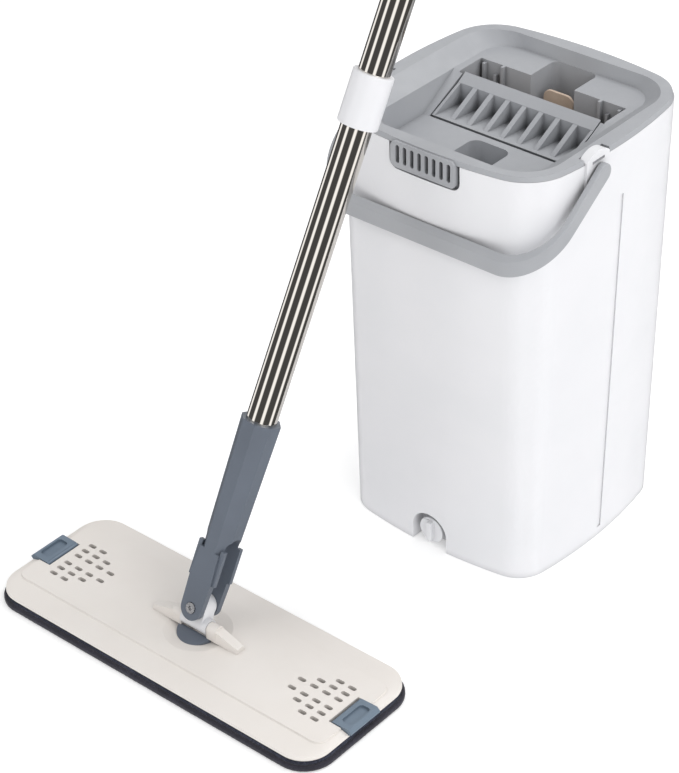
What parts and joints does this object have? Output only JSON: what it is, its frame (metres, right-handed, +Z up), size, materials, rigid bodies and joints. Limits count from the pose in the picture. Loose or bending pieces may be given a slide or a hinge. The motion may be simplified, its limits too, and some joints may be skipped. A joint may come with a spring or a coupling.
{
  "type": "flat mop and bucket with wringer",
  "caption": "Flat mop with a hinged head and long pole, and a tall square bucket with a slotted wringing tray, sprung wringer flap, bail handle and drain knob.",
  "frame": {"origin": "middle of the underside of the whole set's bounding box, on the floor", "axes": "+Z up, +X along the bucket's width and the mop head's length, -Y is the front, where the mop stands"},
  "size_m": [0.3402, 0.5156, 1.0733],
  "materials": {
    "white_plastic": "satin moulded polypropylene",
    "grey_plastic": "fine moulded texture",
    "beige_plastic": "fine moulded texture",
    "scraper_rubber": "soft matt elastomer",
    "blue_grey_plastic": "satin moulded",
    "dark_grey_plastic": "satin moulded",
    "polished_steel": "polished stainless tube",
    "steel_parts": "bright machined",
    "seal_rubber": "matt",
    "pad_fabric": "microfibre pile with a bound edge",
    "hook_fabric": "hook tape",
    "grip_foam": "soft matt grip",
    "beige_tan_plastic": "satin moulded"
  },
  "bodies": {
    "bucket": {"bucket_shell": "white_plastic", "drain_seal": "seal_rubber", "wringer_tray": "grey_plastic", "guide_channel": "beige_tan_plastic", "wiper_tongue": "scraper_rubber", "flap_hinge_rod": "steel_parts", "flap_spring_left": "steel_parts", "flap_spring_right": "steel_parts"},
    "drain_knob": {"drain_plug": "white_plastic"},
    "bail": {"bail_handle": "grey_plastic"},
    "flap": {"wringer_flap": "grey_plastic", "scraper_blade": "scraper_rubber"},
    "mop_head": {"mop_plate": "beige_plastic", "base_plate": "beige_plastic", "hook_strips": "hook_fabric", "mop_pad": "pad_fabric", "joint_cup": "dark_grey_plastic", "wing_cap_left": "beige_plastic", "wing_cap_right": "beige_plastic", "knuckle_axle": "steel_parts", "clip_pins": "steel_parts"},
    "clip_left": {"pad_clip_left": "blue_grey_plastic"},
    "clip_right": {"pad_clip_right": "blue_grey_plastic"},
    "knuckle": {"knuckle": "white_plastic"},
    "pole": {"yoke": "dark_grey_plastic", "yoke_screw": "steel_parts", "yoke_nut": "steel_parts", "lower_tube": "polished_steel", "middle_tube": "polished_steel", "upper_tube": "polished_steel", "lower_sleeve": "white_plastic", "upper_sleeve": "white_plastic", "lower_tube_plug": "white_plastic", "upper_tube_plug": "white_plastic", "hand_grip": "grip_foam", "hang_cap": "grip_foam"}
  },
  "joints": [
    {"name": "mop_lift", "type": "slide", "parent": "bucket", "child": "mop_head", "axis": [0, 0, 1], "range_m": [0, 0.4]},
    {"name": "knuckle_rock", "type": "hinge", "parent": "mop_head", "child": "knuckle", "pos_m": [-0.00235, -0.19367, 0.023], "axis": [1, 0, 0], "range_deg": [-4, 60]},
    {"name": "yoke_swing", "type": "hinge", "parent": "knuckle", "child": "pole", "pos_m": [-0.00235, -0.18859, 0.03497], "axis": [0, 0.9205, -0.3907], "range_deg": [-90, 80]},
    {"name": "bail_swing", "type": "hinge", "parent": "bucket", "child": "bail", "pos_m": [0.05955, 0.07953, 0.3545], "axis": [-1, 0, 0], "range_deg": [0, 180]},
    {"name": "flap_tilt", "type": "hinge", "parent": "bucket", "child": "flap", "pos_m": [0.05955, 0.10403, 0.3298], "axis": [1, 0, 0], "range_deg": [0, 5], "stiffness_Nm_per_rad": 8, "springref_deg": -3.44},
    {"name": "drain_knob_draw", "type": "slide", "parent": "bucket", "child": "drain_knob", "axis": [0, -1, 0], "range_m": [0, 0.03]},
    {"name": "clip_left_open", "type": "hinge", "parent": "mop_head", "child": "clip_left", "pos_m": [-0.15235, -0.19367, 0.0136], "axis": [0, 1, 0], "range_deg": [0, 55]},
    {"name": "clip_right_open", "type": "hinge", "parent": "mop_head", "child": "clip_right", "pos_m": [0.14765, -0.19367, 0.0136], "axis": [0, 1, 0], "range_deg": [-55, 0]}
  ]
}
